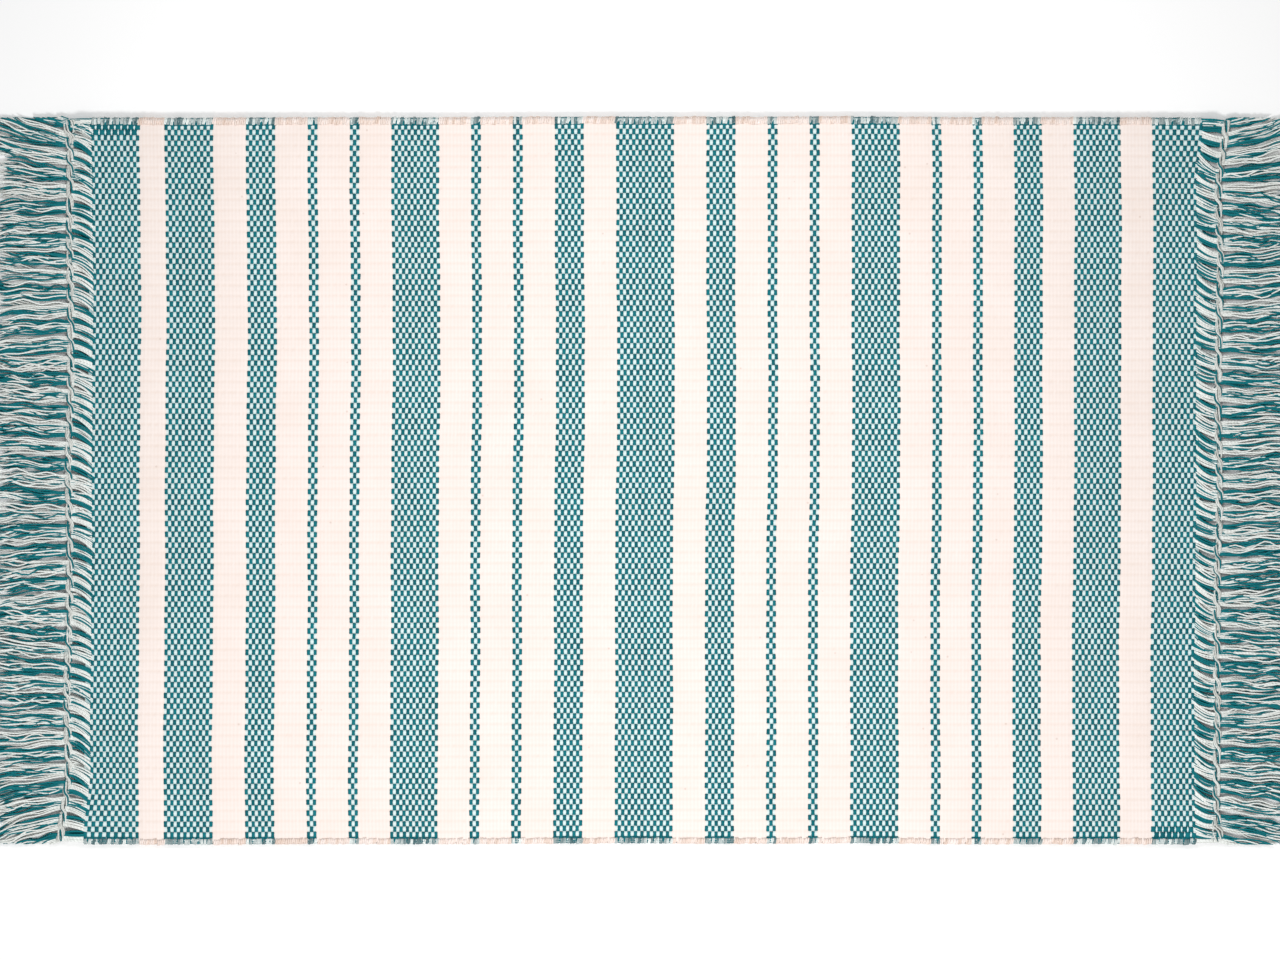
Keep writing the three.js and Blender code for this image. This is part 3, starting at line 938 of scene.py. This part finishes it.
def add_fringe(draft, weave, yarn, place, side, material, is_teal):
    """All the yarns of one colour in one fringe, in a lower and an upper layer, the lower one darker as painted
    shade.
    """
    rng = np.random.default_rng(yarn.seed + 9 * side + 70 * is_teal)
    shared = np.random.default_rng(yarn.seed + 9 * side)  # the bundles of both colours drift together
    offsets = bundle(TEAL_BUNDLE if is_teal else 4.0 * MM, 4)
    places = bundle_places(draft, weave, is_teal)
    lines, tints = [], []
    for layer in (0, 1):
        drift = (2.8 * smooth_noise(shared, len(places), 3) + 0.9 * rng.normal(0, 1, len(places))) * MM
        phase = 0.25 * smooth_noise(shared, len(places), 4) + 0.12 * rng.normal(0, 1, len(places))
        at, offset, tint = bundle_yarns(places, offsets, rng)
        level = (0.8 + 1.4 * layer + 1.0 * rng.random(len(at))) * MM
        short = rng.random(len(places)) ** 2.2  # a few bundles end well before the others
        drift, phase, short = (np.repeat(each, len(offsets)) for each in (drift, phase, short))
        lines.append(fringe_lines(draft, yarn, place, side, at, offset, drift, phase, short, level, rng))
        # Painted shade: the lower layer is darker.
        tints.append(0.2 * tint + 0.15 * (1 - layer))
    name = f"{place}_fringe_{'teal' if is_teal else 'undyed'}_yarns"
    return spin_yarns(name, np.concatenate(lines), np.concatenate(tints), yarn, material, taper=2)


# ------------------------------------------------------------
# Operators


def settings():
    """The mat's three groups of settings."""
    scene = bpy.context.scene
    return scene.mat_weave, scene.mat_yarn, scene.mat_colours


def yarn_pieces(kind, make):
    """Makes the yarns of one kind at both ends of the mat in both colours, in place of the CAD's solids.
    Gives each piece, its end and its side."""
    weave, yarn, colours = settings()
    draft = read_draft(weave)
    for place, side in SIDES:
        for is_teal, cotton in ((False, undyed_twisted_cotton), (True, teal_twisted_cotton)):
            piece = make(draft, weave, yarn, place, side, made_of(cotton, colours), is_teal)
            finish_piece(piece, weave, 0.5)
            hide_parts(f"{place}_{kind}")
            yield piece, place, side


class BATHMAT_OT_stage(bpy.types.Operator):
    """Set the floor, the lights and the camera straight above the mat"""

    bl_idname = "bathmat.stage"
    bl_label = "Set the stage"

    def execute(self, context):
        _, _, colours = settings()
        scene = context.scene
        reach = 3.0
        corners = [(-reach, -reach, 0), (reach, -reach, 0), (reach, reach, 0), (-reach, reach, 0)]
        floor = link("floor", polygons("floor", corners, [0, 1, 2, 3], [4], smooth=False))
        floor.data.materials.append(made_of(pale_floor, colours))

        camera = bpy.data.cameras.new("camera")
        camera.lens, camera.sensor_width = 100, 36
        eye = bpy.data.objects.new("camera", camera)
        scene.collection.objects.link(eye)
        view_width = 0.878  # the mat with both fringes just fills the width
        height = CAD_HIGH.z + view_width * camera.lens / camera.sensor_width
        eye.location = (-0.0032, 0.0003, height)
        camera.clip_end = 10
        scene.camera = eye

        world = bpy.data.worlds.new("soft_room")
        world.use_nodes = True
        world.node_tree.nodes["Background"].inputs["Color"].default_value = (1, 1, 1, 1)
        world.node_tree.nodes["Background"].inputs["Strength"].default_value = 0.45
        scene.world = world
        scene.view_settings.view_transform = "Standard"
        # Two softboxes low over the mat's long edges, so that the light falls off a little towards its ends.
        softboxes = (("key_softbox", (0, -0.8, 1.1), 10.0), ("fill_softbox", (0, 0.35, 0.75), 2.6))
        for name, place, power in softboxes:
            lamp = bpy.data.lights.new(name, "AREA")
            lamp.size = 0.35
            lamp.energy = power
            light = bpy.data.objects.new(name, lamp)
            light.visible_camera = False
            scene.collection.objects.link(light)
            light.location = place
            light.rotation_euler = (-Vector(place)).to_track_quat("-Z", "Y").to_euler()
        return {"FINISHED"}


class BATHMAT_OT_cloth(bpy.types.Operator):
    """Weave the face and back layers of both halves, with their teal floats"""

    bl_idname = "bathmat.cloth"
    bl_label = "Weave the cloth"

    def execute(self, context):
        weave, _, colours = settings()
        draft = read_draft(weave)
        cream, teal = made_of(woven_cream_cotton, colours), made_of(dyed_teal_cotton, colours)
        least, most = 0.03, 0.97  # shares of the bake's image for the side that faces down
        for place, side in SIDES:
            nodes = [name for name in bands() if side * (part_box(name)[0].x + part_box(name)[1].x) > -1e-6]
            for layer, on_face in (("face", True), ("back", False)):
                cloth = cloth_layer(f"{layer}_cloth_{place}", draft, weave, side, on_face)
                cloth.data.materials.append(cream)
                finish_piece(cloth, weave, least)
                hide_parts(*nodes)
                fold_with(cloth, place, side)
                floats = warp_floats(f"{layer}_teal_warp_{place}", draft, weave, side, on_face, teal)
                finish_piece(floats, weave, least if on_face else most)
                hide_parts(*nodes)
                fold_with(floats, place, side)
        return {"FINISHED"}


class BATHMAT_OT_selvedges(bpy.types.Operator):
    """Turn the weft back along both long edges"""

    bl_idname = "bathmat.selvedges"
    bl_label = "Turn the selvedges"

    def execute(self, context):
        weave, _, colours = settings()
        draft = read_draft(weave)
        material = made_of(cream_twisted_cotton, colours)
        for place, side in SIDES:
            for edge_name, edge in (("near", -1), ("far", 1)):
                name = f"{edge_name}_selvedge_turns_{place}"
                turns = selvedge_turns(name, draft, weave, side, edge, material)
                finish_piece(turns, weave, 0.5)
                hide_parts(f"{edge_name}_selvedge_{place}", f"{edge_name}_selvedge_middle")
                fold_with(turns, place, side)
        return {"FINISHED"}


class BATHMAT_OT_headings(bpy.types.Operator):
    """Run the bare warp from the cloth to the cords"""

    bl_idname = "bathmat.headings"
    bl_label = "Run the headings"

    def execute(self, context):
        for heading, place, _ in yarn_pieces("heading", add_heading):
            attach(heading, place + "_half")
        return {"FINISHED"}


class BATHMAT_OT_cords(bpy.types.Operator):
    """Twine the cords that lock the warp ends"""

    bl_idname = "bathmat.cords"
    bl_label = "Twine the cords"

    def execute(self, context):
        for plies, place, _ in yarn_pieces("twined_cord", add_cord):
            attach(plies, place + "_half")
        return {"FINISHED"}


class BATHMAT_OT_fringes(bpy.types.Operator):
    """Lay out the loose warp ends past the cords"""

    bl_idname = "bathmat.fringes"
    bl_label = "Lay the fringes"

    def execute(self, context):
        for fringe, place, side in yarn_pieces("fringe", add_fringe):
            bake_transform(fringe)
        return {"FINISHED"}


class BATHMAT_OT_declare(bpy.types.Operator):
    """Gather, for each half, the pieces that lie on the cloth's face; nothing more is done with them"""

    bl_idname = "bathmat.declare"
    bl_label = "Declare the sheets"

    def execute(self, context):
        weave, _, _ = settings()
        draft = read_draft(weave)
        objects = context.scene.objects
        for place, side in SIDES:
            first, last = picks_of(draft, side)
            on_face = [objects[f"face_teal_warp_{place}"]]
            on_face += [objects[f"{edge}_selvedge_turns_{place}"] for edge in ("near", "far")]
            for kind in ("heading", "fringe"):
                on_face += [objects[f"{place}_{kind}_{shade}_yarns"] for shade in ("undyed", "teal")]
            on_face += [objects[f"{place}_cord_{shade}_plies"] for shade in ("undyed", "teal")]
        return {"FINISHED"}


class BATHMAT_PT_panel(bpy.types.Panel):
    """The mat's pieces and settings"""

    bl_idname = "BATHMAT_PT_panel"
    bl_label = "Hand-woven bath mat"
    bl_space_type = "VIEW_3D"
    bl_region_type = "UI"
    bl_category = "Bath mat"

    def draw(self, context):
        for group in settings():
            for name in group.bl_rna.properties.keys():
                if name not in ("rna_type", "name"):
                    self.layout.prop(group, name)
        for operator in OPERATORS:
            self.layout.operator(operator.bl_idname)


GROUPS = (MatWeave, MatYarn, MatColours)
OPERATORS = (BATHMAT_OT_stage, BATHMAT_OT_cloth, BATHMAT_OT_selvedges, BATHMAT_OT_headings, BATHMAT_OT_cords,
             BATHMAT_OT_fringes, BATHMAT_OT_declare)


def register():
    for cls in (*GROUPS, *OPERATORS, BATHMAT_PT_panel):
        bpy.utils.register_class(cls)
    bpy.types.Scene.mat_weave = PointerProperty(type=MatWeave)
    bpy.types.Scene.mat_yarn = PointerProperty(type=MatYarn)
    bpy.types.Scene.mat_colours = PointerProperty(type=MatColours)


def unregister():
    for name in ("mat_weave", "mat_yarn", "mat_colours"):
        delattr(bpy.types.Scene, name)
    for cls in reversed((*GROUPS, *OPERATORS, BATHMAT_PT_panel)):
        bpy.utils.unregister_class(cls)


def main():
    register()
    bpy.ops.bathmat.stage()
    bpy.ops.bathmat.cloth()
    bpy.ops.bathmat.selvedges()
    bpy.ops.bathmat.headings()
    bpy.ops.bathmat.cords()
    bpy.ops.bathmat.fringes()
    bpy.ops.bathmat.declare()


if __name__ == "__main__":
    main()
